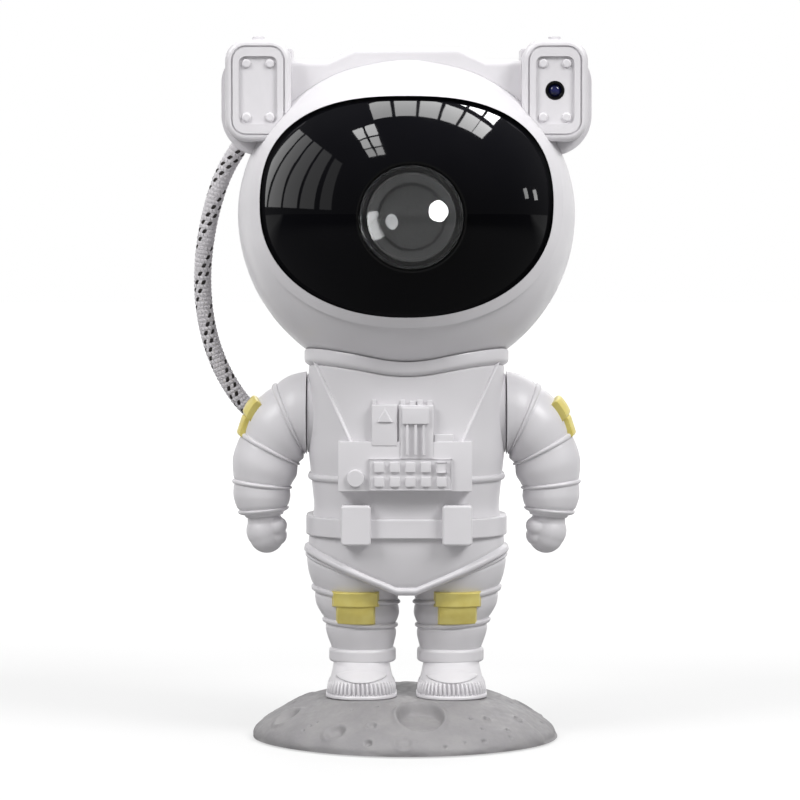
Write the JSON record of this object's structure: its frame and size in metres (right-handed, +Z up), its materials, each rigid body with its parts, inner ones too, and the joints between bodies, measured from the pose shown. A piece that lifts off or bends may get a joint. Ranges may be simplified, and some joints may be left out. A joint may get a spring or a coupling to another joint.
{
  "type": "astronaut star and nebula projector",
  "caption": "Tabletop star and nebula projector shaped as a standing astronaut, with a tilting helmet that holds the lens and lamp.",
  "frame": {"origin": "on the floor under the middle of the outline, without the hose", "axes": "+Z up, -Y is the front where the visor faces, +X to the viewer's right"},
  "size_m": [0.1307, 0.1126, 0.2276],
  "materials": {
    "suit": "satin light grey-white moulded ABS",
    "suit_gloss": "smooth light grey-white moulded ABS, slightly glossy",
    "gold": "satin muted gold paint on moulded plastic",
    "moon": "matt mid-grey moulded plastic",
    "visor_black": "high-gloss black",
    "lens_clear": "clear polished",
    "steel": "zinc-plated",
    "dark_plastic": "matt black",
    "board_green": "solder-resist green",
    "pad_rubber": "soft black foam rubber",
    "aluminium_sink": "plain extruded",
    "gear_plastic": "natural acetal",
    "motor_steel": "drawn can",
    "brass_module": "turned",
    "magnet_nickel": "nickel-plated",
    "braid": "light grey braided sleeve with dark flecks",
    "button_grey": "satin mid-grey"
  },
  "bodies": {
    "torso": {"backpack": "suit", "base_pad": "pad_rubber", "base_plate": "dark_plastic", "base_screws": "steel", "belt": "suit", "belt_pouches": "suit", "board_screws": "steel", "boot_cuffs": "suit", "boot_left": "suit", "boot_right": "suit", "boot_screws": "steel", "braided_hose": "braid", "chest_dial": "suit", "chest_keys": "suit", "chest_panel": "suit", "chest_sliders": "suit", "collar_ring": "suit", "control_board": "board_green", "hose_gland_lower": "suit", "knee_patches": "gold", "leg_left": "suit", "leg_right": "suit", "moon_base": "moon", "torso_front_shell": "suit", "torso_rear_shell": "suit", "usb_socket": "motor_steel"},
    "neck_swivel": {"neck_turntable": "dark_plastic", "neck_magnet": "magnet_nickel"},
    "head": {"helmet_front_shell": "suit_gloss", "helmet_rear_shell": "suit_gloss", "helmet_screws": "steel", "visor": "visor_black", "dome_lens": "lens_clear", "lens_bezel": "visor_black", "optics_frame": "dark_plastic", "effect_motor": "motor_steel", "led_board": "board_green", "condenser_lens": "lens_clear", "heat_sink": "aluminium_sink", "head_steel_plate": "steel", "ear_block_left": "suit_gloss", "ear_block_right": "suit_gloss", "ear_plates": "suit", "ear_rivets": "suit", "ear_hub_left": "suit_gloss", "ear_hub_right": "suit_gloss", "star_lens": "lens_clear", "star_laser_module": "brass_module", "helmet_bridge": "suit_gloss", "hose_gland_upper": "suit"},
    "effect_wheel": {"effect_wheel": "gear_plastic", "effect_disc": "lens_clear"},
    "motor_pinion": {"motor_pinion": "brass_module"},
    "arm_left": {"arm_left": "suit", "shoulder_patch_left": "gold"},
    "arm_right": {"arm_right": "suit", "shoulder_patch_right": "gold"},
    "button_power": {"button_power": "button_grey"},
    "button_nebula": {"button_nebula": "button_grey"},
    "button_star": {"button_star": "button_grey"}
  },
  "joints": [
    {"name": "head_pan", "type": "hinge", "parent": "torso", "child": "neck_swivel", "pos_m": [0, 0.0015, 0.112], "axis": [0, 0, 1], "range_deg": [-35, 35], "deforming": ["braided_hose"]},
    {"name": "head_tilt", "type": "hinge", "parent": "neck_swivel", "child": "head", "pos_m": [0, 0.0015, 0.1707], "axis": [1, 0, 0], "range_deg": [-30, 12]},
    {"name": "effect_spin", "type": "hinge", "parent": "head", "child": "effect_wheel", "pos_m": [0.0015, -0.005, 0.1567], "axis": [0, 1, 0], "continuous": true},
    {"name": "pinion_spin", "type": "hinge", "parent": "head", "child": "motor_pinion", "pos_m": [-0.02556, -0.005, 0.16655], "axis": [0, 1, 0], "continuous": true},
    {"name": "arm_left_swing", "type": "hinge", "parent": "torso", "child": "arm_left", "pos_m": [-0.0305, 0, 0.106], "axis": [-1, 0, 0], "range_deg": [-20, 110]},
    {"name": "arm_right_swing", "type": "hinge", "parent": "torso", "child": "arm_right", "pos_m": [0.0305, 0, 0.106], "axis": [-1, 0, 0], "range_deg": [-20, 110]},
    {"name": "button_power_press", "type": "slide", "parent": "torso", "child": "button_power", "axis": [0, -1, 0], "range_m": [0, 0.0008], "stiffness_N_per_m": 900},
    {"name": "button_nebula_press", "type": "slide", "parent": "torso", "child": "button_nebula", "axis": [0, -1, 0], "range_m": [0, 0.0008], "stiffness_N_per_m": 900},
    {"name": "button_star_press", "type": "slide", "parent": "torso", "child": "button_star", "axis": [0, -1, 0], "range_m": [0, 0.0008], "stiffness_N_per_m": 900}
  ],
  "couplings": [
    {"joint": "pinion_spin", "follows": "effect_spin", "ratio": -5}
  ]
}
